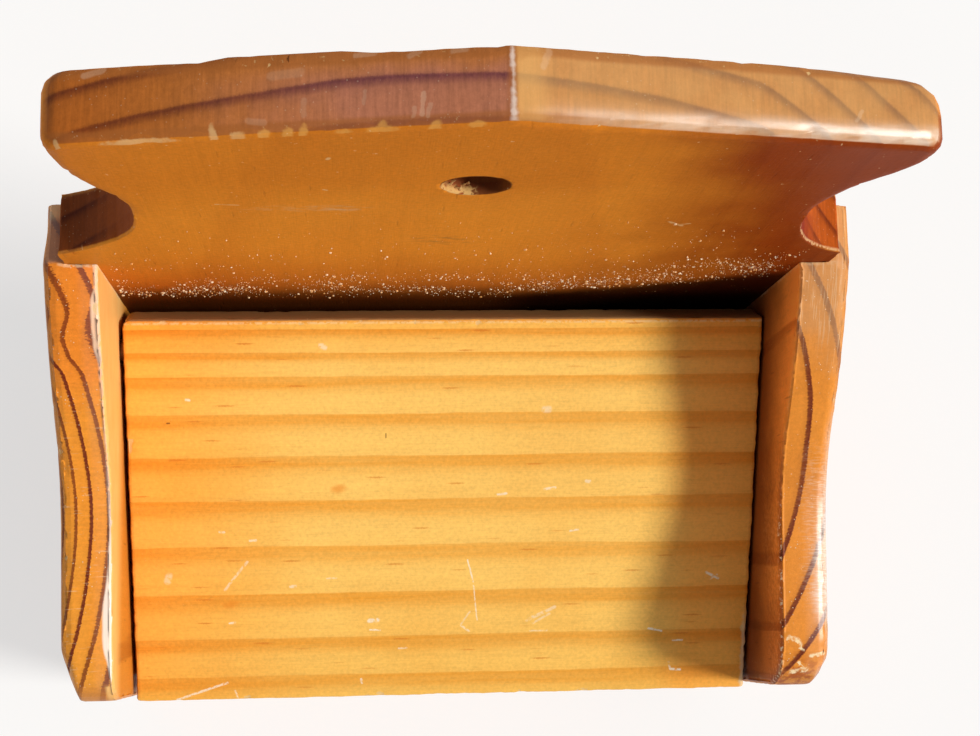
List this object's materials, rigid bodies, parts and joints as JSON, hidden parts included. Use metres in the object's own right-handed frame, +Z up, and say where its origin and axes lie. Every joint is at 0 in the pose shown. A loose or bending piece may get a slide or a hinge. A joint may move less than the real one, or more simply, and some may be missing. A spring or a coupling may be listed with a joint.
{
  "type": "wooden salt box",
  "caption": "Wall-hung solid wood salt box with a shaped back board, a hanging hole, ogee sides and a sloping lid that swings up on wooden pins.",
  "frame": {"origin": "centre of the object's box at its underside, on the surface it stands on", "axes": "+Z up, +Y towards the wall it hangs on, -Y towards the front where the lid opens, +X to the right seen from the front"},
  "size_m": [0.171, 0.1041, 0.2556],
  "materials": {
    "amber_pine": "glossy amber varnish, worn at the edges",
    "deep_pine": "satin amber varnish, darker",
    "pale_pine": "satin honey varnish with straight grain",
    "bare_pine": "unvarnished, matt",
    "dowel_wood": "end grain under varnish",
    "brad_steel": "dull plain steel"
  },
  "bodies": {
    "case": {"back_board": "deep_pine", "left_side_board": "amber_pine", "right_side_board": "amber_pine", "front_board": "amber_pine", "bottom_board": "bare_pine", "left_lid_pin": "dowel_wood", "right_lid_pin": "dowel_wood", "back_brad_1": "brad_steel", "back_brad_2": "brad_steel", "back_brad_3": "brad_steel", "back_brad_4": "brad_steel", "back_brad_5": "brad_steel", "back_brad_6": "brad_steel", "back_brad_7": "brad_steel", "back_brad_8": "brad_steel", "front_brad_1": "brad_steel", "front_brad_2": "brad_steel", "front_brad_3": "brad_steel", "front_brad_4": "brad_steel", "front_brad_5": "brad_steel", "front_brad_6": "brad_steel", "bottom_brad_1": "brad_steel", "bottom_brad_2": "brad_steel", "bottom_brad_3": "brad_steel", "bottom_brad_4": "brad_steel"},
    "lid": {"lid": "pale_pine"}
  },
  "joints": [
    {"name": "lid_hinge", "type": "hinge", "parent": "case", "child": "lid", "pos_m": [0, 0.02812, 0.1163], "axis": [-1, 0, 0], "range_deg": [0, 116.6]}
  ]
}
